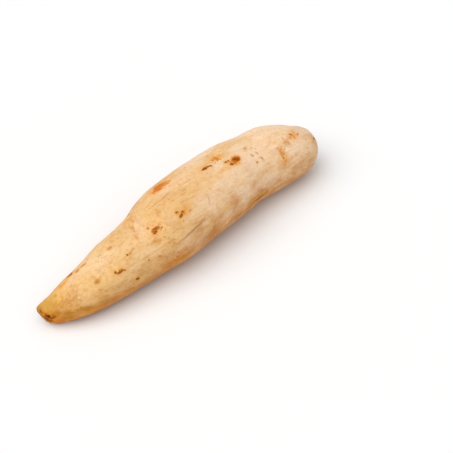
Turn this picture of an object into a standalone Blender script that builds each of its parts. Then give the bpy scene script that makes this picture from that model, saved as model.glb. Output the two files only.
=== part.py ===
"""A whole yacon root lying on its side, one closed solid.

Units are metres and +Z is up. +X runs along the root towards its blunt, round end, and the
narrow end, where the root was snapped off the crown, points to -X. The origin is at the
middle of the box of the underside, and the root rests on a long narrow flat at z = 0.
"""

import math

import bmesh
import bpy
import numpy as np

# Driving sizes.
LENGTH = 0.261                # from the snapped end to the blunt end
BELLY_THICKNESS = 0.0606      # the greatest thickness
TAPER_THICKNESS = 0.0588      # where the belly starts to narrow to the blunt end
TAPER_FROM_TIP = 0.082
SHOULDER_THICKNESS = 0.0520   # where the blunt end starts to round off
SHOULDER_FROM_TIP = 0.034
HIP_THICKNESS = 0.0598        # where the belly, coming from the neck, is nearly full
HIP_LENGTH = 0.033            # from the neck to there
RISE_THICKNESS = 0.0568       # between the neck and the hip
RISE_PLACE = 0.6              # how far that is from the neck, as a share of HIP_LENGTH
NECK_THICKNESS = 0.0485       # the slim stretch before the belly
NECK_FROM_SNAP = 0.083
SNAP_THICKNESS = 0.0150       # the snapped face
SNAP_ROUNDING = 0.0020        # the worn edge round the snapped face
SNAP_SLANT = 16.0             # degrees that the snapped face leans off square
SNAP_SLANT_SIDE = 30.0        # its longest side, in degrees from the top towards +Y
REST_FLAT_DEPTH = 0.0006      # how much of the underside is pressed flat

# Thickness at places along the root: (distance from that end, thickness). The belly is
# fullest midway between the hip and the taper.
HIP_FROM_SNAP = NECK_FROM_SNAP + HIP_LENGTH
THICKNESS_FROM_SNAP = (
    (0.0, SNAP_THICKNESS),
    (0.009, 0.0210),
    (0.018, 0.0270),
    (0.036, 0.0350),
    (0.060, 0.0440),
    (NECK_FROM_SNAP, NECK_THICKNESS),
    (NECK_FROM_SNAP + RISE_PLACE * HIP_LENGTH, RISE_THICKNESS),
    (HIP_FROM_SNAP, HIP_THICKNESS),
    ((HIP_FROM_SNAP + LENGTH - TAPER_FROM_TIP) / 2, BELLY_THICKNESS),
)
THICKNESS_FROM_TIP = (
    (TAPER_FROM_TIP, TAPER_THICKNESS),
    (0.060, 0.0545),
    (0.046, 0.0538),
    (SHOULDER_FROM_TIP, SHOULDER_THICKNESS),
    (0.0, 0.0450),
)
TIP_SQUARENESS = 2.6          # 2 is an ellipse, more is blunter

# How far the middle line bends to +Y, and how far the underside is lifted.
BEND_FROM_SNAP = (
    (0.0, -0.0040),
    (0.010, -0.0080),
    (0.034, -0.0112),
    (0.060, -0.0096),
    (0.088, -0.0068),
    (0.110, -0.0042),
)
BEND_FROM_TIP = (
    (0.100, 0.0024),
    (0.060, 0.0060),
    (0.042, 0.0062),
    (0.014, 0.0045),
    (0.0, 0.0042),
)
LIFT_FROM_SNAP = ((0.0, 0.0012), (0.030, 0.0008), (0.070, 0.0))
LIFT_FROM_TIP = ((0.0, 0.0),)

# The section is round but for these: (waves round it, share of the radius, turn in degrees,
# twist in degrees per metre).
SECTION_WAVES = ((2, 0.010, 20.0, 300.0), (3, 0.006, 75.0, -420.0))

# Swellings and hollows: (distance from the snapped end, degrees from the top towards +Y,
# half length, half width in degrees, height).
SWELLINGS_FROM_SNAP = (
    (0.028, 50.0, 0.010, 40.0, 0.0016),
    (0.052, -95.0, 0.020, 40.0, -0.0006),
    (0.070, 150.0, 0.022, 40.0, 0.0006),
    (0.118, -124.0, 0.018, 36.0, 0.0011),
)
# The same, with the distance taken from the blunt end.
SWELLINGS_FROM_TIP = (
    (0.088, 120.0, 0.020, 40.0, 0.0008),
    (0.066, -124.0, 0.010, 30.0, -0.0012),
    (0.030, 150.0, 0.018, 34.0, -0.0008),
    (0.022, 56.0, 0.014, 42.0, -0.0031),
)

# Mesh density.
AROUND = 44
RING_SPACING = 0.0048
ROUNDING_RINGS = 3            # on the worn edge of the snapped face
TIP_RINGS = 9
SHARP_ANGLE = 40.0            # edges turning more than this are shaded sharp

SKIN_COLOR = (0.71, 0.46, 0.25, 1.0)
SKIN_ROUGHNESS = 0.5


def whole_length(from_snap, from_tip):
    """One list of (x, value) along the root, from lists measured from its two ends."""
    return list(from_snap) + [(LENGTH - distance, value) for distance, value in from_tip]


def smooth_curve(stations):
    """A function of x through the stations, smooth and without overshoot between them."""
    xs = np.array([x for x, _ in stations])
    values = np.array([value for _, value in stations])
    steps = np.diff(xs)
    slopes = np.diff(values) / steps
    tangents = np.concatenate(([slopes[0]], np.zeros(len(xs) - 2), [slopes[-1]]))
    for i in range(1, len(xs) - 1):
        before, after = slopes[i - 1], slopes[i]
        if before * after > 0:
            w1 = 2 * steps[i] + steps[i - 1]
            w2 = steps[i] + 2 * steps[i - 1]
            tangents[i] = (w1 + w2) / (w1 / before + w2 / after)

    def at(x):
        i = int(np.clip(np.searchsorted(xs, x) - 1, 0, len(steps) - 1))
        t = np.clip((x - xs[i]) / steps[i], 0.0, 1.0)
        h = steps[i]
        return float(
            values[i] * (1 + 2 * t) * (1 - t) ** 2
            + h * tangents[i] * t * (1 - t) ** 2
            + values[i + 1] * t * t * (3 - 2 * t)
            + h * tangents[i + 1] * t * t * (t - 1)
        )

    return at


thickness_at = smooth_curve(whole_length(THICKNESS_FROM_SNAP, THICKNESS_FROM_TIP))
bend_at = smooth_curve(whole_length(BEND_FROM_SNAP, BEND_FROM_TIP))
lift_at = smooth_curve(whole_length(LIFT_FROM_SNAP, LIFT_FROM_TIP))


def radius_at(x):
    """Mean radius of the section at x, with both ends rounded off."""
    radius = thickness_at(x) / 2
    to_tip = LENGTH - x
    if to_tip < SHOULDER_FROM_TIP:
        reach = 1 - to_tip / SHOULDER_FROM_TIP
        radius *= max(0.0, 1 - reach**TIP_SQUARENESS) ** (1 / TIP_SQUARENESS)
    if x < SNAP_ROUNDING:
        radius -= SNAP_ROUNDING - math.sqrt(SNAP_ROUNDING**2 - (SNAP_ROUNDING - x) ** 2)
    return radius


def swelling(x, degrees, centre_x, centre_degrees, half_length, half_width, height):
    """Height of one smooth swelling or hollow at a place on the surface."""
    turn = (degrees - centre_degrees + 180.0) % 360.0 - 180.0
    return height * math.exp(-(((x - centre_x) / half_length) ** 2) - (turn / half_width) ** 2)


def bumps(x, degrees):
    """Height of all the swellings and hollows at a place, fading where the root thins."""
    height = 0.0
    for place, *shape in SWELLINGS_FROM_SNAP:
        height += swelling(x, degrees, place, *shape)
    for place, *shape in SWELLINGS_FROM_TIP:
        height += swelling(x, degrees, LENGTH - place, *shape)
    return height * min(1.0, 2 * radius_at(x) / SHOULDER_THICKNESS)


def surface_point(x, degrees):
    """A point of the skin. Degrees count round the section from the top towards +Y."""
    base = radius_at(x)
    radius = base + bumps(x, degrees)
    for waves, share, turn, twist in SECTION_WAVES:
        radius += base * share * math.cos(math.radians(waves * (degrees - turn) + twist * x))
    angle = math.radians(degrees)
    slant = math.tan(math.radians(SNAP_SLANT)) * math.exp(-x / SNAP_THICKNESS)
    slanted_x = x - radius * slant * math.cos(math.radians(degrees - SNAP_SLANT_SIDE))
    middle_z = thickness_at(x) / 2 + lift_at(x)
    return (slanted_x, bend_at(x) + radius * math.sin(angle), middle_z + radius * math.cos(angle))


def ring_places():
    """Where the rings lie along x: close together where the ends round off."""
    rounding = [
        SNAP_ROUNDING * (1 - math.cos(i / ROUNDING_RINGS * math.pi / 2))
        for i in range(ROUNDING_RINGS)
    ]
    straight = LENGTH - SHOULDER_FROM_TIP - SNAP_ROUNDING
    count = round(straight / RING_SPACING)
    body = [SNAP_ROUNDING + straight * i / count for i in range(count)]
    tip = [
        LENGTH - SHOULDER_FROM_TIP * (1 - math.sin(i / TIP_RINGS * math.pi / 2))
        for i in range(TIP_RINGS)
    ]
    return rounding + body + tip


def skin_mesh():
    """Rings bridged along the root, a flat snapped face, and a point at the blunt end."""
    mesh = bmesh.new()
    rings = [
        [mesh.verts.new(surface_point(x, 360.0 * i / AROUND)) for i in range(AROUND)]
        for x in ring_places()
    ]
    for near, far in zip(rings, rings[1:]):
        for i in range(AROUND):
            j = (i + 1) % AROUND
            mesh.faces.new((near[i], near[j], far[j], far[i]))
    tip = mesh.verts.new(surface_point(LENGTH, 0.0))
    for i in range(AROUND):
        mesh.faces.new((rings[-1][i], rings[-1][(i + 1) % AROUND], tip))
    mesh.faces.new(list(reversed(rings[0])))
    return mesh


def press_flat(mesh):
    """Cuts the underside off level, to give the flat that the root rests on."""
    lowest = min(v.co.z for v in mesh.verts)
    level = lowest + REST_FLAT_DEPTH
    geometry = mesh.verts[:] + mesh.edges[:] + mesh.faces[:]
    cut = bmesh.ops.bisect_plane(
        mesh, geom=geometry, plane_co=(0, 0, level), plane_no=(0, 0, -1), clear_outer=True
    )
    edges = [item for item in cut["geom_cut"] if isinstance(item, bmesh.types.BMEdge)]
    bmesh.ops.holes_fill(mesh, edges=edges, sides=0)


def centre_on_origin(mesh):
    """Moves the origin to the middle of the underside of the root's box."""
    corners = np.array([v.co[:] for v in mesh.verts])
    low, high = corners.min(axis=0), corners.max(axis=0)
    middle = (low + high) / 2
    bmesh.ops.translate(mesh, verts=mesh.verts, vec=(-middle[0], -middle[1], -low[2]))


def skin_material():
    material = bpy.data.materials.new("skin")
    material.use_nodes = True
    shader = material.node_tree.nodes["Principled BSDF"]
    shader.inputs["Base Color"].default_value = SKIN_COLOR
    shader.inputs["Roughness"].default_value = SKIN_ROUGHNESS
    shader.inputs["Metallic"].default_value = 0.0
    return material


def make_root():
    mesh = skin_mesh()
    press_flat(mesh)
    centre_on_origin(mesh)
    bmesh.ops.recalc_face_normals(mesh, faces=mesh.faces)
    data = bpy.data.meshes.new("yacon_root")
    mesh.to_mesh(data)
    mesh.free()
    data.materials.append(skin_material())
    data.shade_smooth()
    data.set_sharp_from_angle(angle=math.radians(SHARP_ANGLE))
    root = bpy.data.objects.new("yacon_root", data)
    bpy.context.scene.collection.objects.link(root)
    return root


def clear_scene():
    for item in list(bpy.data.objects):
        bpy.data.objects.remove(item, do_unlink=True)


clear_scene()
make_root()
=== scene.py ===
"""The looks of one whole yacon root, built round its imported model.

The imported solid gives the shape. A fine skin is laid over it, with lumps, furrows, wrinkles,
scabs, cracks, pits and stains in their places, and a node material colours it from the masks
that those marks leave on the mesh. Lengths in the lists below are in millimetres.
"""

import math
import random

import bpy
import numpy as np
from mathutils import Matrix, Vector, noise
from mathutils.bvhtree import BVHTree


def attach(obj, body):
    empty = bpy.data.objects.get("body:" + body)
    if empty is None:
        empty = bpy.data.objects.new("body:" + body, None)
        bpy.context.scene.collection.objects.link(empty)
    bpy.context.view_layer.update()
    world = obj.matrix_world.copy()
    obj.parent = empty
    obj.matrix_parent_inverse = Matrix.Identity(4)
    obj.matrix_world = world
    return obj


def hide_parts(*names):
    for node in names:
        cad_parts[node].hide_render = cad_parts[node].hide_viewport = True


NODE = "yacon_root"
MM = 0.001

# The skin's grid: rings along the root, and columns round it.
COLUMNS = 236
SNAP_RINGS = 38
BODY_RINGS = 328
TIP_RINGS = 52
SNAP_CAP = 9.0          # length of each end where the rays fan out from one point
TIP_CAP = 24.0
SMOOTHING_ALONG = 4.5   # in rings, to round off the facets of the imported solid
SMOOTHING_ROUND = 3.4   # in columns
TIP_RISE = 0.02         # how far the last point stands past the last ring
UV_MARGIN = 0.004       # round the unrolled skin, as a share of the map

# The middle line, measured at steps along the root, a little short of its two ends.
MIDDLE_STEP = 2.0
MIDDLE_FROM_SNAP = 5.0
MIDDLE_FROM_TIP = 8.0
MIDDLE_SMOOTHING = 2.5  # in steps

# Marks. A place is (distance from the snapped end, degrees round from the top, where the
# camera's side is negative). Sizes are (length along the root, width round it).
# Scabs: place, size, tilt in degrees, strength, height.
SCABS = (
    ((3, -62), (5.4, 4.2), 20, 1.8, 0.30),
    ((5.5, -68), (4.0, 2.6), -20, 1.3, 0.15),
    ((4, -104), (3.0, 3.0), 0, 1.2, 0.10),
    ((2, -100), (2.8, 2.4), 0, 1.4, 0.10),
    ((1, 10), (2.0, 4.0), 0, 0.8, 0.10),
    ((56, -41), (4.0, 2.2), 60, 0.95, 0.18),
    ((59.5, -44), (4.6, 2.4), -10, 1.0, 0.25),
    ((62.5, -47), (3.0, 1.6), 30, 0.8, 0.12),
    ((69, -80), (3.4, 2.6), 10, 0.9, 0.15),
    ((92, -16), (3.0, 2.4), 20, 0.70, 0.12),
    ((95, -26), (7.4, 5.0), -20, 0.92, 0.25),
    ((99.5, -31), (4.4, 1.8), -15, 0.65, 0.12),
    ((114.5, -28), (3.2, 2.4), 40, 0.75, 0.16),
    ((116.5, -34.5), (3.6, 2.2), -30, 1.0, 0.22),
    ((119, -32.5), (4.6, 2.6), 10, 0.7, 0.18),
    ((124.5, -36), (4.2, 1.8), -25, 0.6, 0.14),
    ((154, 0), (5.5, 2.0), -12, 1.0, 0.20),
    ((159, -2), (4.0, 1.6), 14, 0.9, 0.16),
    ((165, 4), (2.4, 1.5), 20, 0.80, 0.08),
    ((168, 0), (2.2, 1.4), -20, 0.80, 0.08),
    ((171.5, -10), (2.4, 2.0), 0, 0.9, 0.15),
    ((174.5, -11), (2.2, 1.6), 30, 0.85, 0.12),
    ((175, -18), (4.4, 2.4), 20, 0.85, 0.22),
    ((180, -13.5), (5.6, 2.8), -10, 1.0, 0.30),
    ((181.5, -17.5), (6.0, 3.6), 10, 0.75, 0.25),
    ((236.5, -14), (3.2, 1.8), 20, 0.9, 0.12),
    ((242.5, -19), (3.0, 1.8), -30, 0.85, 0.12),
    ((256, -46), (2.6, 2.0), 0, 0.9, 0.12),
    ((31, 40), (4.4, 3.2), 0, 1.2, 0.14),
    # The side that faces away.
    ((48, 112), (5.0, 3.0), 25, 0.9, 0.22),
    ((88, 142), (6.5, 3.2), -20, 1.0, 0.28),
    ((133, 98), (7.0, 4.4), 12, 0.9, 0.28),
    ((139, 104), (3.6, 2.2), -30, 1.0, 0.18),
    ((171, 128), (4.2, 2.4), 40, 0.8, 0.16),
    ((208, 88), (6.2, 2.6), -15, 0.95, 0.24),
    ((228, 140), (4.0, 3.0), 10, 0.8, 0.18),
    ((112, -142), (5.2, 2.4), 15, 0.8, 0.18),
    ((198, -148), (4.6, 2.8), -25, 0.8, 0.18),
)
# Stains, flat on the skin: place, size, tilt, strength. Those along the lower edge are painted shade
# as well.
STAINS_AND_EDGE_SHADE = (
    ((4, -66), (12, 9), 0, 0.9),
    ((9, -108), (16, 10), 0, 0.9),
    ((58, -43), (13, 7), -15, 0.45),
    ((95, -26), (13, 8), -20, 0.62),
    ((119.5, -33), (12, 6.5), -15, 0.62),
    ((121, 28), (18, 9), -18, 0.9),
    ((118, 29), (13, 8), -30, 1.25),
    ((125, 22), (8, 3.5), -20, 0.7),
    ((112, 32), (10, 6), 10, 0.5),
    ((127, 9), (30, 15), -8, 0.32),
    ((94, -22), (16, 15), 0, 0.30),
    ((156, -1), (14, 6), 0, 0.5),
    ((172.5, -11), (8, 5), 0, 0.55),
    ((168, 5), (11, 7), 0, 0.80),
    ((179, -16), (13, 8.5), -10, 0.55),
    ((180, -15), (8.5, 6.5), -10, 1.2),
    ((220, -42), (8, 20), 0, 0.60),
    ((218, -60), (4.5, 10), 10, 0.35),
    ((238, -18), (13, 9), -20, 0.64),
    ((246, -30), (10, 8), 0, 0.30),
    ((22, 24), (9, 5), 0, 0.55),
    ((40, 30), (14, 7), 10, 0.35),
    ((70, -28), (9, 5), -10, 0.40),
    ((86, 30), (10, 20), 0, 0.40),
    ((83, 2), (7, 18), 0, 0.34),
    ((80, -22), (6, 12), 0, 0.28),
    ((194, -6), (6, 5), 0, 0.35),
    ((227, -26), (10, 8), 0, 0.42),
    # Long bands along the lower edge on the camera's side: stain, and painted shade along that edge.
    ((106, -97), (28, 10), 0, 0.55),
    ((60, -110), (40, 14), 0, 0.40),
    ((14, -94), (20, 9), 0, 0.45),
    ((34, -96), (24, 8), 0, 0.40),
    ((48, -84), (12, 4), 0, 0.40),
    ((150, -88), (30, 8), 0, 0.35),
    ((188, -92), (26, 10), 0, 0.55),
    ((48, 112), (13, 9), 0, 0.6),
    ((88, 142), (16, 9), -20, 0.6),
    ((135, 100), (19, 11), 10, 0.85),
    ((208, 88), (14, 8), -15, 0.7),
    ((176, 150), (24, 12), 0, 0.5),
    ((230, 120), (12, 12), 0, 0.5),
    ((112, -142), (14, 8), 0, 0.6),
    ((150, 175), (60, 14), 0, 0.35),
)
# Bruises, olive and brown under the skin: place, size, tilt, strength. Those along the lower edge
# are painted shade as well.
BRUISES_AND_EDGE_SHADE = (
    ((9, -56), (9, 7), 0, 1.0),
    ((15, -68), (10, 7), 0, 0.85),
    ((20, -34), (28, 18), 0, 0.60),
    # This and the next four, and those at 190 and 214, lie along the lower edge on the camera's
    # side: bruise, and painted shade along that edge.
    ((14, -90), (14, 7), 0, 0.90),
    ((27, -80), (18, 8), 5, 0.85),
    ((46, -95), (18, 6), 0, 0.70),
    ((62, -96), (14, 5), 0, 0.60),
    ((107, -98), (28, 8), 0, 0.75),
    ((220, -40), (8, 13), 0, 0.52),
    ((222, -58), (6, 12), 0, 0.40),
    ((228, -26), (11, 9), 0, 0.55),
    ((190, -97), (26, 8), 0, 0.75),
    ((214, -100), (24, 8), 0, 0.60),
    ((2, -10), (3, 10), 0, 0.6),
    ((42, -32), (5.5, 4.2), -30, 1.0),
    ((42, -20), (4.5, 3.6), 0, 0.55),
    ((62, 6), (4.2, 3.4), 0, 0.85),
    ((92, -40), (9, 7), 0, 0.70),
    ((27, -48), (5, 3), 0, 0.5),
    ((16, -38), (5, 3), 0, 0.5),
    ((36.5, 28), (5, 3.5), 20, 0.95),
    ((41.5, 27), (5.5, 3), 20, 0.85),
    ((172, -56), (5, 3), 20, 0.35),
    ((164, -38), (4, 3), 0, 0.30),
    ((192, -83), (3, 2.4), 0, 0.6),
    ((200, -22), (5, 2.2), 60, 0.85),
    ((195, -21), (3.4, 2), 60, 0.80),
    ((201, -33), (4, 2.2), 60, 0.80),
    ((194, -5), (3.2, 2.4), 0, 0.7),
    ((214, 0), (4, 3), 0, 0.3),
    ((240, -8), (4, 3), 0, 0.4),
    ((84, 4), (3, 8), 10, 0.65),
    ((82, -12), (3, 8), -15, 0.55),
    ((79, -24), (3, 6), 10, 0.4),
    ((88, 24), (3, 7), 0, 0.6),
    ((92, 46), (5, 8), 0, 0.7),
    ((101, 40), (3, 6), 20, 0.5),
    ((70, 86), (8, 5), 20, 0.8),
    ((150, 132), (7, 5), -20, 0.7),
    ((190, 112), (6, 4), 10, 0.7),
    ((120, 170), (8, 5), 0, 0.6),
    ((82, -128), (7, 4), 0, 0.6),
)
# Pits, small dark dents: place, width, depth.
PITS = (
    ((3.5, -62), 4.2, 0.30),
    ((2, -98), 2.8, 0.20),
    ((82, -59), 2.0, 0.30),
    ((90, -66), 2.0, 0.30),
    ((104, -81), 1.8, 0.25),
    ((103, -88), 1.8, 0.25),
    ((69, -27), 2.2, 0.30),
    ((165, -1), 1.8, 0.25),
    ((170.5, -1.5), 1.6, 0.20),
    ((195.5, -35), 2.3, 0.35),
    ((223, -37), 1.6, 0.20),
    ((219, -51), 1.8, 0.25),
    ((218, -62), 1.6, 0.20),
    ((116, -42), 1.2, 0.15),
    ((139, 0), 1.2, 0.15),
    ((130, 4), 1.2, 0.15),
    ((124, 14), 1.3, 0.15),
    ((58, 104), 2.0, 0.30),
    ((101, 90), 1.8, 0.25),
    ((162, 100), 2.0, 0.30),
    ((186, 140), 1.8, 0.25),
    ((222, 70), 2.0, 0.30),
)
# Cracks, narrow and dark: their places in order, width, strength.
CRACKS = (
    (((69, -27), (71.5, -28.5), (74, -26.5), (75.5, -22)), 0.7, 0.45),
    (((151, 1), (155, -1), (158, 0), (162, -2.5)), 0.9, 1.0),
    (((130, 96), (134, 101), (138, 102), (143, 107)), 0.9, 0.9),
    (((205, 86), (209, 88), (213, 87)), 0.8, 0.8),
    (((84, 140), (89, 143), (94, 141)), 0.8, 0.8),
)
# Creases, shallow grooves: their places in order, width, depth, how much they darken.
CREASES = (
    (((104, -66), (112, -65), (120, -64), (127, -63), (136, -62)), 1.5, 0.34, 0.85),
    (((101, 8), (108, 5), (115, 3), (123, 4)), 1.8, 0.30, 0.55),
    (((142, -29), (143, -36), (142, -42), (140, -48)), 1.3, 0.20, 0.50),
    (((69, -27), (71.5, -28.5), (74.5, -26.5), (76, -21)), 1.3, 0.14, 0.75),
    (((88, 34), (91, 22), (90, 10), (93, -2)), 1.8, 0.20, 0.35),
    (((80, 26), (83, 12), (82, -2), (85, -14)), 1.6, 0.16, 0.30),
    (((96, 26), (99, 16), (98, 8)), 1.5, 0.14, 0.25),
    (((74, -51), (89, -53), (105, -57)), 1.4, 0.16, 0.40),
    (((60, -8), (72, -4), (84, -2)), 1.6, 0.12, 0.15),
    (((148, -44), (160, -47), (174, -50)), 1.4, 0.10, 0.15),
    (((176, -84), (184, -87), (192, -86), (201, -90)), 1.4, 0.40, 0.80),
    (((178, -93), (188, -95), (199, -98)), 1.4, 0.40, 0.80),
    (((183, -79), (190, -81), (198, -86)), 1.2, 0.30, 0.60),
    (((234, -86), (242, -84), (250, -74)), 1.1, 0.24, 0.55),
    (((232, -92), (241, -91), (250, -83)), 1.1, 0.24, 0.55),
    (((96, 118), (112, 112), (130, 114), (146, 118)), 1.8, 0.22, 0.35),
    (((170, 84), (186, 80), (200, 82)), 1.6, 0.18, 0.30),
    (((58, -150), (80, -146), (104, -148)), 1.8, 0.20, 0.35),
)
# Patches of fine wrinkles: place, size along and across the wrinkles' spacing, how far that
# direction is turned from the root's length, spacing, depth.
WRINKLES = (
    ((188, -92), (16, 34), 68, 2.4, 0.30),
    ((212, -38), (9, 8), -35, 1.8, 0.12),
    ((244, -82), (20, 22), 78, 2.0, 0.26),
    ((232, -100), (16, 22), 80, 2.0, 0.24),
    ((250, -30), (14, 34), 0, 2.4, 0.14),
    ((86, 16), (16, 26), 8, 2.6, 0.22),
    ((52, -90), (18, 36), 84, 2.4, 0.16),
    ((150, -95), (20, 60), 82, 2.6, 0.16),
    ((96, 150), (18, 24), 12, 2.6, 0.20),
    ((140, 120), (26, 50), 84, 2.8, 0.16),
    ((236, 110), (18, 24), -10, 2.4, 0.20),
    ((180, -130), (20, 40), 75, 2.4, 0.18),
)
# Relief all over the root: height, size of the noise along, across and up, octaves, offset of
# the noise, and whether it fades out towards the snapped end. In order: lumps, small lumps,
# long low ridges, fine lengthwise lines, grain.
RELIEF = (
    (0.34, (26, 20, 20), 2, 0.0, True),
    (0.16, (11, 8, 8), 2, 7.0, False),
    (0.16, (55, 7, 7), 2, 13.0, True),
    (0.035, (16, 1.6, 1.6), 3, 21.0, False),
    (0.022, (2.2, 2.0, 2.0), 2, 29.0, False),
)
RELIEF_FADE = (2.0, 30.0)   # the stretch where it comes in
# Broad low swells on the skin: place, size, height.
SWELLS = (
    ((168, 26), (40, 30), -1.0),
    ((230, 40), (24, 36), 0.5),
    ((250, 22), (20, 34), -2.2),
    ((256, -62), (26, 34), 1.2),
)
# Paler stretches of skin: place, size, tilt, strength. The one across the top of the neck is a
# painted highlight.
PALE_AND_HIGHLIGHT_PATCHES = (
    ((40, 0), (38, 28), 0, 0.34),
    # A painted highlight across the top of the neck.
    ((85, 6), (13, 28), 0, 0.26),
)
# Small marks with no fixed place, spread over the whole root.
SEED = 41
END_MARGIN = 6.0            # both ends are left free of them
SPECKS = 170
SPECK_WIDTHS = (0.6, 1.3)
SPECK_DEPTH = 0.05
SPECK_STRENGTHS = (0.25, 0.75)
FAINT_SPOTS = 60
FAINT_LENGTHS = (3, 9)
FAINT_WIDTHS = (2, 5)
FAINT_TILTS = (-40, 40)
FAINT_STRENGTHS = (0.12, 0.32)
LENTICELS = 130             # short raised bars that lie across the root
LENTICEL_HALF_LENGTH = 0.35
LENTICEL_HALF_WIDTHS = (0.8, 1.9)
LENTICEL_HEIGHT = 0.05
LENTICEL_STRENGTHS = (0.1, 0.4)

# How the marks are drawn.
EDGE_NOISE = (2.6, 2.6, 2.6)    # size of the noise that makes their edges ragged
CRUMB_NOISE = (1.1, 1.1, 1.1)   # size of the crumbs on scabs
BLOB_FALL = 0.7             # how fast a patch falls off at its edge
HALO_SIZE = 2.1             # the stain round a scab, as a share of the scab
HALO_STRENGTH = 0.55
BRUISE_DEPTH = 0.12
RIM_SHARE = 0.35            # the raised rim of a crease or a pit, as a share of its depth
PIT_HALO_STRENGTH = 0.45
CREASE_FADE = 0.25          # the share of a crease over which it fades at each end
CRACK_FADE = 0.12
CRACK_DEPTH = 0.35
CRACK_RIM = 0.12
CRACK_CRUST = 0.8           # how strong the crust along a crack is
WRINKLE_EDGE = 0.30         # how wide a wrinkle is on its noise
WRINKLE_STRENGTH = 0.4      # how much it darkens the skin
SWELL_REACH = 30.0          # how far off its own plane each kind of mark still counts
WRINKLE_REACH = 15.0
LENTICEL_REACH = 3.0
WRINKLE_LIMIT = 0.02        # a patch of wrinkles ends where it is weaker than this
LINE_REACH = 8.0            # how far from a line's places its distance is worked out
FAR_AWAY = 1e3              # the distance that is given farther out
SNAP_FACE = (9.0, 5.0)      # the snapped face fades in between these distances from its end
SNAP_DEPTH = 0.25
FIBRE_NOISE = (3.0, 1.1, 1.1)
FIBRE_HEIGHT = 0.35
SNAP_RIM = 0.15
BLUNT_HALF = (70.0, 195.0)  # the stretch over which the skin turns pale
PALE_NOISE = (34, 14, 14)
PALE_LEVELS = (0.30, 0.38)  # how pale the slim half is, and how much more the blunt half
PALE_DRIFTS = (0.25, 0.60)  # how far that drifts, in the same order

# Colours, as 0..255 display values. Whole skin: share of the length from the snapped end, colour.
SKIN_COLORS = (
    (0.00, (190, 144, 62)),
    (0.07, (218, 168, 88)),
    (0.20, (225, 185, 128)),
    (0.42, (221, 178, 120)),
    (0.62, (226, 184, 129)),
    (0.85, (234, 200, 160)),
    (1.00, (228, 190, 142)),
)
# Crusts: place on the noise, colour.
CRUST_COLORS = ((0.36, (108, 46, 8)), (0.50, (156, 80, 14)), (0.64, (202, 120, 30)))
PALE_COLOR = (237, 209, 180)
FLECK_COLOR = (178, 110, 50)
STAIN_COLOR = (222, 150, 48)
STAIN_HEART_COLOR = (207, 114, 4)
STAIN_CRUMB_COLOR = (150, 78, 10)
BRUISE_COLOR = (178, 112, 20)
SNAPPED_COLOR = (156, 112, 40)
PIT_COLOR = (88, 38, 6)
# Tones, which multiply the colour that they lie on.
BROWN_CLOUD = (0.93, 0.80, 0.66)
YELLOW_CLOUD = (0.96, 0.93, 0.74)
DARK_MOTTLE = (0.84, 0.72, 0.58)
LIGHT_MOTTLE = (1.05, 1.11, 1.20)
DARK_STREAK = (0.80, 0.68, 0.56)
LIGHT_STREAK = (1.05, 1.10, 1.18)
FINE_GRAIN = (0.84, 0.76, 0.66)
# Painted shade: the skin turns darker and oranger where it faces down.
UNDERSIDE_SHADE = (0.72, 0.45, 0.18)
CREASE_TONE = (0.60, 0.47, 0.34)
# The skin's surface.
BUMP_STRENGTH = 0.8
SPECULAR_LEVEL = 0.17
REFRACTION = 1.4
SUBSURFACE_WEIGHT = 0.08
SUBSURFACE_RADIUS = (1.0, 0.55, 0.30)
SUBSURFACE_DEPTH = 3.0      # in millimetres

# Light, floor and camera, in metres and degrees. The sky's stops are how high the direction
# points, from 0 at the horizon to 1 straight up, and how bright it is there.
SKY_LEVELS = ((0.0, 1.0), (0.12, 1.0), (0.30, 0.24), (0.62, 0.34), (1.0, 0.70))
KEY_COLOR = (1.0, 0.995, 0.985)
FLOOR_SIZE = 12.0
FLOOR_COLOR = (0.82, 0.82, 0.82, 1.0)
FLOOR_ROUGHNESS = 0.9
FLOOR_SPECULAR = 0.1
CAMERA_AZIMUTH = -37.5
CAMERA_ELEVATION = 50.0
CAMERA_DISTANCE = 0.842
CAMERA_AIM = (0.0329, -0.0130, 0.0)
LENS = 85.0                 # its length in millimetres
CLIP = (0.01, 50.0)


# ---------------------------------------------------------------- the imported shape


def packed_shape(node):
    """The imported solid's corners and edges in millimetres, and a search tree over its faces."""
    mesh = node.data
    corners = np.array([vertex.co[:] for vertex in mesh.vertices]) / MM
    edges = np.array([edge.vertices[:] for edge in mesh.edges])
    faces = [tuple(polygon.vertices) for polygon in mesh.polygons]
    return corners, edges, BVHTree.FromPolygons(corners.tolist(), faces)


def middle_line(corners, edges, low_x, high_x):
    """A function of x that gives the middle of the root's section there."""
    xs = np.arange(low_x, high_x + MIDDLE_STEP / 2, MIDDLE_STEP)
    starts, ends = corners[edges[:, 0]], corners[edges[:, 1]]
    middles = []
    for x in xs:
        cut = (starts[:, 0] - x) * (ends[:, 0] - x) < 0
        share = (x - starts[cut, 0]) / (ends[cut, 0] - starts[cut, 0])
        points = starts[cut] + (ends[cut] - starts[cut]) * share[:, None]
        middles.append((points.min(axis=0) + points.max(axis=0)) / 2)
    middles = smoothed(np.array(middles), MIDDLE_SMOOTHING, 0, wrap=False)

    def at(x):
        return np.interp(x, xs, middles[:, 1]), np.interp(x, xs, middles[:, 2])

    return at


def ring_rays(low_x, high_x, middle_at):
    """The start of each ring's rays and how far they lean: -90 to the snapped end, 90 to the tip."""
    first, last = low_x + SNAP_CAP, high_x - TIP_CAP
    snap = [(first, -90.0 * (1 - i / SNAP_RINGS)) for i in range(1, SNAP_RINGS)]
    body = [(x, 0.0) for x in np.linspace(first, last, BODY_RINGS)]
    tip = [(last, 90.0 * i / TIP_RINGS) for i in range(1, TIP_RINGS)]
    rays = []
    for x, lean in snap + body + tip:
        y, z = middle_at(x)
        rays.append((np.array((x, y, z)), math.radians(lean)))
    return rays


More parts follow.
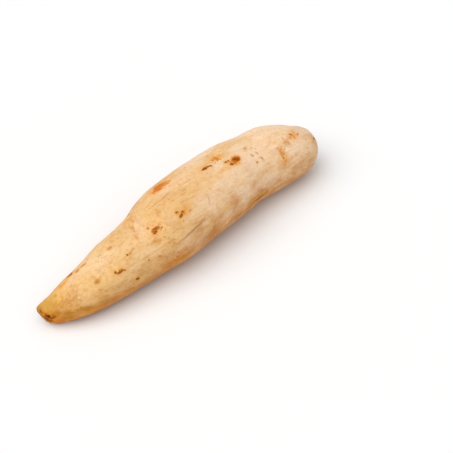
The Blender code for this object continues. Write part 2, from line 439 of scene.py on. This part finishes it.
def smoothed(values, width, axis, wrap):
    """A Gaussian blur along one axis of the grid."""
    reach = int(math.ceil(width * 3))
    weights = np.exp(-0.5 * (np.arange(-reach, reach + 1) / width) ** 2)
    weights /= weights.sum()
    padding = [(0, 0)] * values.ndim
    padding[axis] = (reach, reach)
    padded = np.pad(values, padding, mode="wrap" if wrap else "edge")
    count = values.shape[axis]
    parts = (
        weight * np.take(padded, np.arange(i, i + count), axis=axis)
        for i, weight in enumerate(weights)
    )
    return sum(parts)


def lay_skin(tree, rays):
    """Points of the smooth skin, as rings by columns by 3, and the two end points."""
    turns = np.radians(np.arange(COLUMNS) * 360.0 / COLUMNS)
    round_dirs = np.stack([np.zeros(COLUMNS), np.sin(turns), np.cos(turns)], axis=1)
    origins = np.array([origin for origin, _ in rays])
    leans = np.array([lean for _, lean in rays])
    directions = np.cos(leans)[:, None, None] * round_dirs[None]
    directions[:, :, 0] = np.sin(leans)[:, None]
    reach = np.zeros(directions.shape[:2])
    for i, origin in enumerate(origins):
        start = Vector(origin)
        for j in range(COLUMNS):
            reach[i, j] = tree.ray_cast(start, Vector(directions[i, j]))[3]
    reach = smoothed(reach, SMOOTHING_ROUND, 1, wrap=True)
    reach = smoothed(reach, SMOOTHING_ALONG, 0, wrap=False)
    skin = origins[:, None] + directions * reach[:, :, None]
    snap_end = skin[0].mean(axis=0)
    tip_end = skin[-1].mean(axis=0) + np.array((TIP_RISE, 0.0, 0.0))
    return skin, snap_end, tip_end


# ---------------------------------------------------------------- the grid of the skin


def grid_faces(rings):
    """Quads of the grid, and the triangles that close its two ends."""
    faces = []
    for i in range(rings - 1):
        for j in range(COLUMNS):
            k = (j + 1) % COLUMNS
            near, far = i * COLUMNS, (i + 1) * COLUMNS
            faces.append((near + j, far + j, far + k, near + k))
    snap_point, tip_point = rings * COLUMNS, rings * COLUMNS + 1
    last = (rings - 1) * COLUMNS
    for j in range(COLUMNS):
        k = (j + 1) % COLUMNS
        faces.append((snap_point, j, k))
        faces.append((last + k, last + j, tip_point))
    return faces


class Skin:
    """The fine skin while marks are put on it: points, normals and masks in flat arrays."""

    MASKS = ("stain", "scab", "pit", "bruise", "crease", "snap", "pale")

    def __init__(self, points, snap_end, tip_end):
        self.rings = len(points)
        self.points = np.concatenate([points.reshape(-1, 3), [snap_end, tip_end]])
        self.mesh = bpy.data.meshes.new("yacon_skin")
        self.mesh.from_pydata((self.points * MM).tolist(), [], grid_faces(self.rings))
        self.normals = self.mesh_normals()
        self.heights = np.zeros(len(self.points))
        self.masks = {name: np.zeros(len(self.points)) for name in self.MASKS}
        self.along = self.points[:, 0] - self.points[:, 0].min()

    def mesh_normals(self):
        normals = np.zeros(len(self.points) * 3, np.float32)
        self.mesh.vertex_normals.foreach_get("vector", normals)
        return normals.reshape(-1, 3).astype(float)

    def nearest(self, place):
        """The point of the grid at a place: a distance from the snapped end and degrees."""
        distance, degrees = place
        column = int(round(degrees / 360.0 * COLUMNS)) % COLUMNS
        column_points = np.arange(self.rings) * COLUMNS + column
        ring = int(np.argmin(np.abs(self.along[column_points] - distance)))
        return column_points[ring]

    def local(self, place, tilt=0.0):
        """How far each point lies from a place: along the root, round it, and off the skin."""
        index = self.nearest(place)
        normal = self.normals[index]
        forward = np.array((1.0, 0.0, 0.0)) - normal * normal[0]
        if np.linalg.norm(forward) < 0.2:
            forward = np.cross((0.0, 1.0, 0.0), normal)
        forward /= np.linalg.norm(forward)
        sideways = np.cross(forward, normal)
        turn = math.radians(tilt)
        along = forward * math.cos(turn) + sideways * math.sin(turn)
        across = sideways * math.cos(turn) - forward * math.sin(turn)
        offset = self.points - self.points[index]
        return offset @ along, offset @ across, offset @ normal

    def add_mask(self, name, values):
        self.masks[name] = np.maximum(self.masks[name], values)


def noise_field(points, scales, octaves=3, offset=0.0):
    """Fractal noise at each point, after division by the scales. Offsets keep noises apart."""
    scaled = points / np.array(scales) + offset
    return np.array([noise.fractal(Vector(p), 1.0, 2.0, octaves) for p in scaled.tolist()])


def smoothstep(low, high, values):
    t = np.clip((values - low) / (high - low), 0.0, 1.0)
    return t * t * (3 - 2 * t)


def same_side(off, reach):
    """True where a point is near a mark's own plane, so that the far side isn't marked too."""
    return np.abs(off) < reach


# ---------------------------------------------------------------- shape of the skin


def straightened(skin, middle_at):
    """The points with the root's bend taken out, so that stripes follow its length."""
    y, z = middle_at(skin.points[:, 0])
    return np.stack([skin.points[:, 0], skin.points[:, 1] - y, skin.points[:, 2] - z], axis=1)


def add_relief(skin, straight):
    """Lumps, long low ridges and fine lengthwise lines all over the root."""
    body = smoothstep(*RELIEF_FADE, skin.along)
    for height, scales, octaves, offset, fades in RELIEF:
        relief = height * noise_field(straight, scales, octaves, offset)
        skin.heights += relief * body if fades else relief


def add_swells(skin):
    """Broad, low swells that the plain solid leaves out."""
    for place, size, height in SWELLS:
        along, across, off = skin.local(place)
        reach = (along / size[0] * 2) ** 2 + (across / size[1] * 2) ** 2
        skin.heights += height * np.exp(-reach) * same_side(off, SWELL_REACH)


def add_wrinkles(skin):
    """Patches of fine wrinkles that run across a direction and break off unevenly."""
    for place, (length, width), tilt, spacing, depth in WRINKLES:
        along, across, off = skin.local(place, tilt)
        patch = np.exp(-((along / length * 2) ** 2) - (across / width * 2) ** 2)
        patch *= same_side(off, WRINKLE_REACH)
        near = np.nonzero(patch > WRINKLE_LIMIT)[0]
        flat = np.stack([along, across, off], axis=1)[near]
        wave = noise_field(flat, (0.75 * spacing, 5.0 * spacing, 5.0 * spacing), 2, offset=53.0)
        lines = patch[near] * smoothstep(WRINKLE_EDGE, 0.0, np.abs(wave))
        skin.heights[near] -= depth * lines
        darker = np.maximum(skin.masks["crease"][near], WRINKLE_STRENGTH * lines)
        skin.masks["crease"][near] = darker


def line_distance(skin, places, samples=26):
    """Distance of each point from a smooth line through some places, and the place along it."""
    knots = np.array([skin.points[skin.nearest(place)] for place in places])
    knots = np.concatenate([[2 * knots[0] - knots[1]], knots, [2 * knots[-1] - knots[-2]]])
    line = []
    for a, b, c, d in zip(knots, knots[1:], knots[2:], knots[3:]):
        for t in np.linspace(0.0, 1.0, samples, endpoint=False):
            line.append(
                0.5 * (2 * b + (c - a) * t + (2 * a - 5 * b + 4 * c - d) * t * t
                       + (3 * b - a - 3 * c + d) * t**3)
            )
    line = np.array(line)
    middle = line.mean(axis=0)
    reach = np.linalg.norm(line - middle, axis=1).max() + LINE_REACH
    near = np.nonzero(np.linalg.norm(skin.points - middle, axis=1) < reach)[0]
    gaps = np.linalg.norm(skin.points[near, None] - line[None], axis=2)
    distance = np.full(len(skin.points), FAR_AWAY)
    share = np.zeros(len(skin.points))
    distance[near] = gaps.min(axis=1)
    share[near] = gaps.argmin(axis=1) / len(line)
    return distance, share


def fade_ends(share, fade):
    """1 along a line, falling to 0 over a share of it at each end."""
    return smoothstep(0.0, fade, share) * smoothstep(1.0, 1.0 - fade, share)


def add_creases(skin, warp):
    """Shallow grooves with a low rim beside them."""
    for places, width, depth, darkness in CREASES:
        distance, share = line_distance(skin, places)
        fade = fade_ends(share, CREASE_FADE)
        groove = fade * np.exp(-(((distance + 0.25 * warp[0]) / (0.5 * width)) ** 2))
        rim = fade * np.exp(-(((distance - width) / (0.5 * width)) ** 2))
        skin.heights += RIM_SHARE * depth * rim - depth * groove
        skin.add_mask("crease", darkness * groove)


def add_cracks(skin, warp):
    """Narrow dark cracks with a crust along them."""
    for places, width, strength in CRACKS:
        distance, share = line_distance(skin, places)
        fade = fade_ends(share, CRACK_FADE)
        ragged = distance + 0.3 * warp[0]
        crack = strength * fade * np.exp(-((ragged / (0.6 * width)) ** 2))
        crust = strength * fade * np.exp(-((ragged / (1.3 * width)) ** 2))
        skin.heights -= CRACK_DEPTH * crack
        skin.heights += CRACK_RIM * fade * np.exp(-(((distance - 1.3 * width) / width) ** 2))
        skin.add_mask("pit", crack)
        skin.add_mask("scab", CRACK_CRUST * crust)


def blob(skin, place, size, tilt, warp, ragged=0.35, power=2.0):
    """A patch with a ragged edge: 1 in the middle, falling to 0 outside its size."""
    along, across, off = skin.local(place, tilt)
    half_length, half_width = size[0] / 2, size[1] / 2
    along = along / half_length + ragged * warp[0]
    across = across / half_width + ragged * warp[1]
    reach = np.sqrt(along**2 + across**2)
    return np.exp(-BLOB_FALL * reach**power) * same_side(off, max(size))


def add_scabs(skin, warp, crumbs):
    """Raised, crumbly crusts, each in a stain of its own."""
    for place, size, tilt, strength, height in SCABS:
        patch = blob(skin, place, size, tilt, warp, ragged=0.45, power=2.6)
        skin.heights += height * patch * (0.55 + 0.8 * crumbs)
        skin.add_mask("scab", strength * patch)
        halo_size = (size[0] * HALO_SIZE, size[1] * HALO_SIZE)
        halo = blob(skin, place, halo_size, tilt, warp)
        skin.add_mask("stain", HALO_STRENGTH * strength * halo)


def add_stains(skin, warp):
    for place, size, tilt, strength in STAINS_AND_EDGE_SHADE:
        skin.add_mask("stain", strength * blob(skin, place, size, tilt, warp, ragged=0.55))


def add_bruises(skin, warp):
    for place, size, tilt, strength in BRUISES_AND_EDGE_SHADE:
        patch = blob(skin, place, size, tilt, warp, ragged=0.3)
        skin.heights -= BRUISE_DEPTH * strength * patch
        skin.add_mask("bruise", strength * patch)


def add_pit(skin, place, width, depth, strength=1.0):
    """A round dent with a raised rim and a faint stain round it."""
    along, across, off = skin.local(place)
    reach = np.sqrt(along**2 + across**2 + off**2) / (width / 2)
    skin.heights -= depth * np.exp(-((reach / 0.8) ** 2))
    skin.heights += RIM_SHARE * depth * np.exp(-(((reach - 1.5) / 0.5) ** 2))
    skin.add_mask("pit", strength * np.exp(-((reach / 0.95) ** 2.5)))
    skin.add_mask("stain", PIT_HALO_STRENGTH * strength * np.exp(-((reach / 2.0) ** 2)))


def add_pits(skin):
    for place, width, depth in PITS:
        add_pit(skin, place, width, depth)


def add_small_marks(skin, warp, length):
    """Specks, faint spots and lenticels spread over the whole root."""
    draw = random.Random(SEED)

    def anywhere():
        return draw.uniform(END_MARGIN, length - END_MARGIN), draw.uniform(-180, 180)

    for _ in range(SPECKS):
        width = draw.uniform(*SPECK_WIDTHS)
        add_pit(skin, anywhere(), width, SPECK_DEPTH, strength=draw.uniform(*SPECK_STRENGTHS))
    for _ in range(FAINT_SPOTS):
        size = (draw.uniform(*FAINT_LENGTHS), draw.uniform(*FAINT_WIDTHS))
        tilt = draw.uniform(*FAINT_TILTS)
        patch = blob(skin, anywhere(), size, tilt, warp, ragged=0.6)
        skin.add_mask("stain", draw.uniform(*FAINT_STRENGTHS) * patch)
    for _ in range(LENTICELS):
        along, across, off = skin.local(anywhere())
        half_width = draw.uniform(*LENTICEL_HALF_WIDTHS)
        shape = np.exp(-((along / LENTICEL_HALF_LENGTH) ** 2) - (across / half_width) ** 2)
        shape *= same_side(off, LENTICEL_REACH)
        skin.heights += LENTICEL_HEIGHT * shape
        skin.add_mask("crease", draw.uniform(*LENTICEL_STRENGTHS) * shape)


def add_snapped_end(skin, straight):
    """The rubbed, fibrous face where the root was snapped off."""
    facing = smoothstep(0.45, 0.85, -skin.normals[:, 0])
    near_end = smoothstep(*SNAP_FACE, skin.along)
    face = facing * near_end
    fibres = noise_field(straight, FIBRE_NOISE, 3, offset=35.0)
    skin.heights += face * (FIBRE_HEIGHT * fibres - SNAP_DEPTH)
    rim = np.exp(-(((facing - 0.5) / 0.22) ** 2)) * near_end
    skin.heights += SNAP_RIM * rim
    skin.add_mask("snap", face)


def add_pale_areas(skin, straight, warp):
    """Pale, slightly bloomed stretches, mostly on the blunt half, and a painted highlight across the
    top of the neck.
    """
    drift = noise_field(straight, PALE_NOISE, 3, offset=47.0)
    blunt_half = smoothstep(*BLUNT_HALF, skin.along)
    slim_level, blunt_level = PALE_LEVELS
    slim_drift, blunt_drift = PALE_DRIFTS
    pale = slim_level + blunt_level * blunt_half + (slim_drift + blunt_drift * blunt_half) * drift
    for place, size, tilt, strength in PALE_AND_HIGHLIGHT_PATCHES:
        pale += strength * blob(skin, place, size, tilt, warp, ragged=0.3)
    skin.masks["pale"] = np.clip(pale, 0, 1)


def finished_points(skin):
    """Moves the points by their heights, and keeps the rest strip level on the floor."""
    moved = skin.points + skin.normals * skin.heights[:, None]
    moved[:, 2] = np.maximum(moved[:, 2], 0.0)
    return moved


def lay_uvs(mesh, rings):
    """Unrolls the skin: round the root across the map, and along the root up it."""
    layer = mesh.uv_layers.new(name="OFBake")
    uvs = np.zeros((len(mesh.loops), 2), np.float32)
    for polygon in mesh.polygons:
        corners = [mesh.loops[i].vertex_index for i in polygon.loop_indices]
        columns = [c % COLUMNS for c in corners if c < rings * COLUMNS]
        seam = max(columns) - min(columns) > 1
        for loop, corner in zip(polygon.loop_indices, corners):
            if corner >= rings * COLUMNS:
                column = sum(c + (COLUMNS if seam and c == 0 else 0) for c in columns) / 2
                ring = 0 if corner == rings * COLUMNS else rings + 1
            else:
                column = corner % COLUMNS
                column += COLUMNS if seam and column == 0 else 0
                ring = corner // COLUMNS + 1
            uvs[loop] = (column / COLUMNS, ring / (rings + 1))
    layer.data.foreach_set("uv", (UV_MARGIN + (1 - 2 * UV_MARGIN) * uvs).ravel())


def finish_mesh(skin, length):
    """Writes the moved points, the masks and the unrolled map to the skin's mesh."""
    mesh = skin.mesh
    mesh.vertices.foreach_set("co", (finished_points(skin) * MM).astype(np.float32).ravel())
    masks = dict(skin.masks)
    masks["along"] = skin.along / length
    # Which way each point faces, for the painted shade on the lower side.
    masks["facing_down"] = 0.5 - 0.5 * skin.normals[:, 2]
    for name, values in masks.items():
        attribute = mesh.attributes.new(name, "FLOAT", "POINT")
        attribute.data.foreach_set("value", np.clip(values, 0, 1).astype(np.float32))
    lay_uvs(mesh, skin.rings)
    mesh.shade_smooth()
    mesh.update()


def make_skin(node):
    """The skin's object, with its relief, and with its masks as attributes of the mesh."""
    corners, edges, tree = packed_shape(node)
    low_x, high_x = corners[:, 0].min(), corners[:, 0].max()
    middle_at = middle_line(corners, edges, low_x + MIDDLE_FROM_SNAP, high_x - MIDDLE_FROM_TIP)
    points, snap_end, tip_end = lay_skin(tree, ring_rays(low_x, high_x, middle_at))
    skin = Skin(points, snap_end, tip_end)
    straight = straightened(skin, middle_at)
    warp = [noise_field(skin.points, EDGE_NOISE, 3, offset) for offset in (61.0, 83.0)]
    crumbs = noise_field(skin.points, CRUMB_NOISE, 2, offset=97.0)
    add_relief(skin, straight)
    add_swells(skin)
    add_wrinkles(skin)
    add_creases(skin, warp)
    add_bruises(skin, warp)
    add_stains(skin, warp)
    add_small_marks(skin, warp, high_x - low_x)
    add_scabs(skin, warp, crumbs)
    add_cracks(skin, warp)
    add_pits(skin)
    add_snapped_end(skin, straight)
    add_pale_areas(skin, straight, warp)
    finish_mesh(skin, high_x - low_x)
    root = bpy.data.objects.new("yacon_skin", skin.mesh)
    bpy.context.scene.collection.objects.link(root)
    return root


# ---------------------------------------------------------------- the skin's material


class Nodes:
    """Short calls that add shader nodes to one material."""

    def __init__(self, name):
        self.material = bpy.data.materials.new(name)
        self.material.use_nodes = True
        self.tree = self.material.node_tree
        self.shader = self.tree.nodes["Principled BSDF"]

    def link(self, source, socket):
        if isinstance(source, bpy.types.NodeSocket):
            self.tree.links.new(source, socket)
        else:
            socket.default_value = source

    def mask(self, name):
        node = self.tree.nodes.new("ShaderNodeAttribute")
        node.attribute_name = name
        return node.outputs["Fac"]

    def place(self, stretch):
        """The root's own coordinates in millimetres, stretched along its length."""
        coordinates = self.tree.nodes.new("ShaderNodeTexCoord")
        mapping = self.tree.nodes.new("ShaderNodeMapping")
        mapping.inputs["Scale"].default_value = (1 / MM / stretch, 1 / MM, 1 / MM)
        self.tree.links.new(coordinates.outputs["Object"], mapping.inputs["Vector"])
        return mapping.outputs["Vector"]

    def noise(self, size, stretch=1.0, detail=3.0, roughness=0.55, distortion=0.0):
        node = self.tree.nodes.new("ShaderNodeTexNoise")
        node.inputs["Scale"].default_value = 1 / size
        node.inputs["Detail"].default_value = detail
        node.inputs["Roughness"].default_value = roughness
        node.inputs["Distortion"].default_value = distortion
        self.tree.links.new(self.place(stretch), node.inputs["Vector"])
        return node.outputs["Fac"]

    def math(self, operation, a, b=0.0, clamp=False):
        node = self.tree.nodes.new("ShaderNodeMath")
        node.operation = operation
        node.use_clamp = clamp
        self.link(a, node.inputs[0])
        self.link(b, node.inputs[1])
        return node.outputs[0]

    def span(self, value, low, high, to_low=0.0, to_high=1.0):
        """value from low..high to to_low..to_high, eased and clamped."""
        node = self.tree.nodes.new("ShaderNodeMapRange")
        node.interpolation_type = "SMOOTHSTEP"
        for socket, number in zip(
            ("From Min", "From Max", "To Min", "To Max"), (low, high, to_low, to_high)
        ):
            node.inputs[socket].default_value = number
        self.link(value, node.inputs["Value"])
        return node.outputs["Result"]

    def mix(self, factor, a, b, blend="MIX"):
        node = self.tree.nodes.new("ShaderNodeMix")
        node.data_type = "RGBA"
        node.blend_type = blend
        self.link(factor, node.inputs[0])
        self.link(a, node.inputs[6])
        self.link(b, node.inputs[7])
        return node.outputs[2]

    def tint(self, color, factor, tone):
        """The colour multiplied by a tone, by a factor."""
        return self.mix(factor, color, (*tone, 1.0), blend="MULTIPLY")

    def ramp(self, value, stops):
        """A colour ramp through stops of (position, display colour)."""
        node = self.tree.nodes.new("ShaderNodeValToRGB")
        ramp = node.color_ramp
        while len(ramp.elements) < len(stops):
            ramp.elements.new(1.0)
        for element, (position, color) in zip(ramp.elements, stops):
            element.position = position
            element.color = srgb(*color)
        self.link(value, node.inputs["Fac"])
        return node.outputs["Color"]


def srgb(red, green, blue):
    """A shader colour from 0..255 display values."""

    def linear(value):
        value /= 255
        return value / 12.92 if value <= 0.04045 else ((value + 0.055) / 1.055) ** 2.4

    return (linear(red), linear(green), linear(blue), 1.0)


def broken(nodes, mask, edge, reach, low, high):
    """A mask with a broken edge: noise is added to it before it is cut at low..high."""
    push = nodes.math("MULTIPLY", nodes.math("SUBTRACT", edge, 0.5), reach)
    return nodes.span(nodes.math("ADD", mask, push), low, high)


def whole_skin_color(nodes):
    """The colour of unmarked skin: a drift along the root, clouds, mottles, streaks, flecks, and
    painted shade where it faces down.
    """
    drift = nodes.math("SUBTRACT", nodes.noise(34.0, stretch=2.0, detail=2.0), 0.5)
    place = nodes.math("ADD", nodes.mask("along"), nodes.math("MULTIPLY", drift, 0.25))
    color = nodes.ramp(place, SKIN_COLORS)
    cloud = nodes.noise(10.0, stretch=1.5, detail=5.0, roughness=0.6)
    color = nodes.tint(color, nodes.span(cloud, 0.50, 0.68, 0.0, 0.48), BROWN_CLOUD)
    yellow = nodes.noise(15.0, stretch=1.4, detail=3.0, distortion=0.4)
    color = nodes.tint(color, nodes.span(yellow, 0.54, 0.70, 0.0, 0.50), YELLOW_CLOUD)
    mottle = nodes.noise(3.4, stretch=1.5, detail=5.0, roughness=0.62)
    color = nodes.tint(color, nodes.span(mottle, 0.48, 0.70, 0.0, 0.75), DARK_MOTTLE)
    color = nodes.tint(color, nodes.span(mottle, 0.46, 0.30, 0.0, 0.60), LIGHT_MOTTLE)
    # Pale skin, with a painted highlight across the top of the neck.
    pale = nodes.span(nodes.mask("pale"), 0.25, 0.95, 0.0, 0.68)
    color = nodes.mix(pale, color, srgb(*PALE_COLOR))
    streaks = nodes.noise(1.7, stretch=8.0, detail=3.0)
    color = nodes.tint(color, nodes.span(streaks, 0.54, 0.74, 0.0, 0.55), DARK_STREAK)
    color = nodes.tint(color, nodes.span(streaks, 0.44, 0.28, 0.0, 0.45), LIGHT_STREAK)
    fine = nodes.noise(0.8, stretch=3.0, detail=2.0)
    color = nodes.tint(color, nodes.span(fine, 0.40, 0.70, 0.0, 0.45), FINE_GRAIN)
    crowd = nodes.span(nodes.noise(19.0, detail=2.0), 0.42, 0.66, -0.05, 0.06)
    flecks = nodes.math("ADD", nodes.noise(1.5, stretch=1.4, detail=3.0, roughness=0.6), crowd)
    color = nodes.mix(nodes.span(flecks, 0.64, 0.72, 0.0, 0.62), color, srgb(*FLECK_COLOR))
    # Painted shade on the side that faces down, its edge broken up by the cloud noise.
    shade_edge = nodes.math("MULTIPLY", nodes.math("SUBTRACT", cloud, 0.5), 1.1)
    under = nodes.span(nodes.math("ADD", nodes.mask("facing_down"), shade_edge), 0.07, 0.84)
    return nodes.tint(color, under, UNDERSIDE_SHADE)


def skin_color(nodes):
    """The base colour, and the masks of scabs and pits with their broken edges."""
    color = whole_skin_color(nodes)
    edge = nodes.noise(2.4, detail=5.0, roughness=0.65)
    small_edge = nodes.noise(0.9, detail=4.0, roughness=0.7)

    # Stains; along the lower edge they are painted shade as well.
    halo = broken(nodes, nodes.mask("stain"), edge, 0.7, 0.05, 0.72)
    color = nodes.mix(nodes.math("MULTIPLY", halo, 0.76), color, srgb(*STAIN_COLOR))
    heart = broken(nodes, nodes.mask("stain"), edge, 1.4, 0.42, 0.92)
    color = nodes.mix(nodes.math("MULTIPLY", heart, 0.95), color, srgb(*STAIN_HEART_COLOR))
    crumbs = broken(nodes, nodes.mask("stain"), small_edge, 2.6, 0.75, 1.35)
    color = nodes.mix(nodes.math("MULTIPLY", crumbs, 0.70), color, srgb(*STAIN_CRUMB_COLOR))
    # Bruises; along the lower edge they are painted shade as well.
    bruise = broken(nodes, nodes.mask("bruise"), edge, 0.9, 0.20, 0.95)
    color = nodes.mix(nodes.math("MULTIPLY", bruise, 0.85), color, srgb(*BRUISE_COLOR))
    crease = nodes.math("MULTIPLY", nodes.mask("crease"), 0.9)
    color = nodes.tint(color, crease, CREASE_TONE)
    snapped = nodes.math("MULTIPLY", nodes.mask("snap"), nodes.span(edge, 0.35, 0.62, 0.15, 0.75))
    color = nodes.mix(snapped, color, srgb(*SNAPPED_COLOR))

    scab = broken(nodes, nodes.mask("scab"), small_edge, 1.5, 0.36, 0.74)
    crust = nodes.ramp(nodes.noise(1.1, detail=3.0), CRUST_COLORS)
    color = nodes.mix(scab, color, crust)
    pit = broken(nodes, nodes.mask("pit"), small_edge, 0.8, 0.36, 1.0)
    return nodes.mix(pit, color, srgb(*PIT_COLOR)), scab, pit


def skin_roughness(nodes, scab, pit):
    """Satin where the skin is whole, dull on crusts and in pits."""
    patches = nodes.noise(6.0, stretch=1.6, detail=4.0)
    value = nodes.span(patches, 0.35, 0.68, 0.40, 0.60)
    rough = nodes.math("MAXIMUM", scab, pit)
    rough = nodes.math("MAXIMUM", rough, nodes.math("MULTIPLY", nodes.mask("snap"), 0.9))
    return nodes.math("ADD", value, nodes.math("MULTIPLY", rough, 0.35), clamp=True)


def skin_height(nodes, scab):
    """Fine relief in millimetres: lines along the root, pores, and crumbs on the scabs."""
    lines = nodes.math("MULTIPLY", nodes.noise(0.9, stretch=9.0, detail=3.0), 0.14)
    pores = nodes.math("MULTIPLY", nodes.noise(0.7, detail=3.0), 0.10)
    waves = nodes.math("MULTIPLY", nodes.noise(3.4, stretch=1.5, detail=4.0), 0.40)
    crumbs = nodes.math("MULTIPLY", nodes.noise(0.8, detail=4.0, roughness=0.7), 0.50)
    crumbs = nodes.math("MULTIPLY", crumbs, scab)
    return nodes.math("ADD", nodes.math("ADD", lines, pores), nodes.math("ADD", waves, crumbs))


def skin_material():
    """The skin's material: colour, roughness and fine relief, and a little light inside."""
    nodes = Nodes("yacon_skin")
    shader = nodes.shader
    color, scab, pit = skin_color(nodes)
    nodes.link(color, shader.inputs["Base Color"])
    nodes.link(skin_roughness(nodes, scab, pit), shader.inputs["Roughness"])
    bump = nodes.tree.nodes.new("ShaderNodeBump")
    bump.inputs["Strength"].default_value = BUMP_STRENGTH
    bump.inputs["Distance"].default_value = MM
    nodes.link(skin_height(nodes, scab), bump.inputs["Height"])
    nodes.link(bump.outputs["Normal"], shader.inputs["Normal"])
    shader.inputs["Specular IOR Level"].default_value = SPECULAR_LEVEL
    shader.inputs["IOR"].default_value = REFRACTION
    shader.inputs["Subsurface Weight"].default_value = SUBSURFACE_WEIGHT
    shader.inputs["Subsurface Radius"].default_value = SUBSURFACE_RADIUS
    shader.inputs["Subsurface Scale"].default_value = SUBSURFACE_DEPTH * MM
    return nodes.material


# ---------------------------------------------------------------- floor, light, camera


def make_floor():
    """A plain pale floor, far wider than the picture."""
    mesh = bpy.data.meshes.new("floor")
    half = FLOOR_SIZE / 2
    corners = [(-half, -half, 0), (half, -half, 0), (half, half, 0), (-half, half, 0)]
    mesh.from_pydata(corners, [], [(0, 1, 2, 3)])
    material = bpy.data.materials.new("floor")
    material.use_nodes = True
    shader = material.node_tree.nodes["Principled BSDF"]
    shader.inputs["Base Color"].default_value = FLOOR_COLOR
    shader.inputs["Roughness"].default_value = FLOOR_ROUGHNESS
    shader.inputs["Specular IOR Level"].default_value = FLOOR_SPECULAR
    mesh.materials.append(material)
    floor = bpy.data.objects.new("floor", mesh)
    bpy.context.scene.collection.objects.link(floor)


def direction(azimuth, elevation):
    """Unit vector from the object towards a place at that bearing and height."""
    a, e = math.radians(azimuth), math.radians(elevation)
    return Vector((math.sin(a) * math.cos(e), -math.cos(a) * math.cos(e), math.sin(e)))


def add_sun(name, azimuth, elevation, spread, power, color=(1.0, 1.0, 1.0)):
    """A broad soft light from one side, the same over the whole floor."""
    light = bpy.data.lights.new(name, "SUN")
    light.angle = math.radians(spread)
    light.energy = power
    light.color = color
    lamp = bpy.data.objects.new(name, light)
    towards = direction(azimuth, elevation)
    lamp.location = towards
    lamp.rotation_euler = (-towards).to_track_quat("-Z", "Y").to_euler()
    bpy.context.scene.collection.objects.link(lamp)


def make_surround():
    """A white studio all round: brightest overhead, and white again along the horizon."""
    world = bpy.data.worlds.new("studio")
    world.use_nodes = True
    tree = world.node_tree
    coordinates = tree.nodes.new("ShaderNodeTexCoord")
    split = tree.nodes.new("ShaderNodeSeparateXYZ")
    ramp = tree.nodes.new("ShaderNodeValToRGB")
    while len(ramp.color_ramp.elements) < len(SKY_LEVELS):
        ramp.color_ramp.elements.new(1.0)
    for element, (height, level) in zip(ramp.color_ramp.elements, SKY_LEVELS):
        element.position = height
        element.color = (level, level, level, 1.0)
    tree.links.new(coordinates.outputs["Generated"], split.inputs["Vector"])
    tree.links.new(split.outputs["Z"], ramp.inputs["Fac"])
    tree.links.new(ramp.outputs["Color"], tree.nodes["Background"].inputs["Color"])
    bpy.context.scene.world = world


def light_scene():
    """A bright white studio, lit softly from above and from the upper left."""
    add_sun("key", azimuth=-100.0, elevation=58.0, spread=60.0, power=1.85, color=KEY_COLOR)
    add_sun("top", azimuth=-20.0, elevation=74.0, spread=80.0, power=0.85)
    make_surround()
    bpy.context.scene.view_settings.view_transform = "Standard"


def make_camera():
    data = bpy.data.cameras.new("camera")
    data.lens = LENS
    data.clip_start, data.clip_end = CLIP
    towards = direction(CAMERA_AZIMUTH, CAMERA_ELEVATION)
    camera = bpy.data.objects.new("camera", data)
    camera.location = Vector(CAMERA_AIM) + towards * CAMERA_DISTANCE
    camera.rotation_euler = (-towards).to_track_quat("-Z", "Y").to_euler()
    bpy.context.scene.collection.objects.link(camera)
    bpy.context.scene.camera = camera


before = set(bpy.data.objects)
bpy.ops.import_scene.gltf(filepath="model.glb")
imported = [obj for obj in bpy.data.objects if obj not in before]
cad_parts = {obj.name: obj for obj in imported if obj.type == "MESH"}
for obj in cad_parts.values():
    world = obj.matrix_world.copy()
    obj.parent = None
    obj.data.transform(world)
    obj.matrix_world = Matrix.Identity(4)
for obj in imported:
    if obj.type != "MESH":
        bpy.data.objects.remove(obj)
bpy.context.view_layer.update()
root = make_skin(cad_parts[NODE])
root.data.materials.append(skin_material())
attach(root, "root")
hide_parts(NODE)
make_floor()
light_scene()
make_camera()
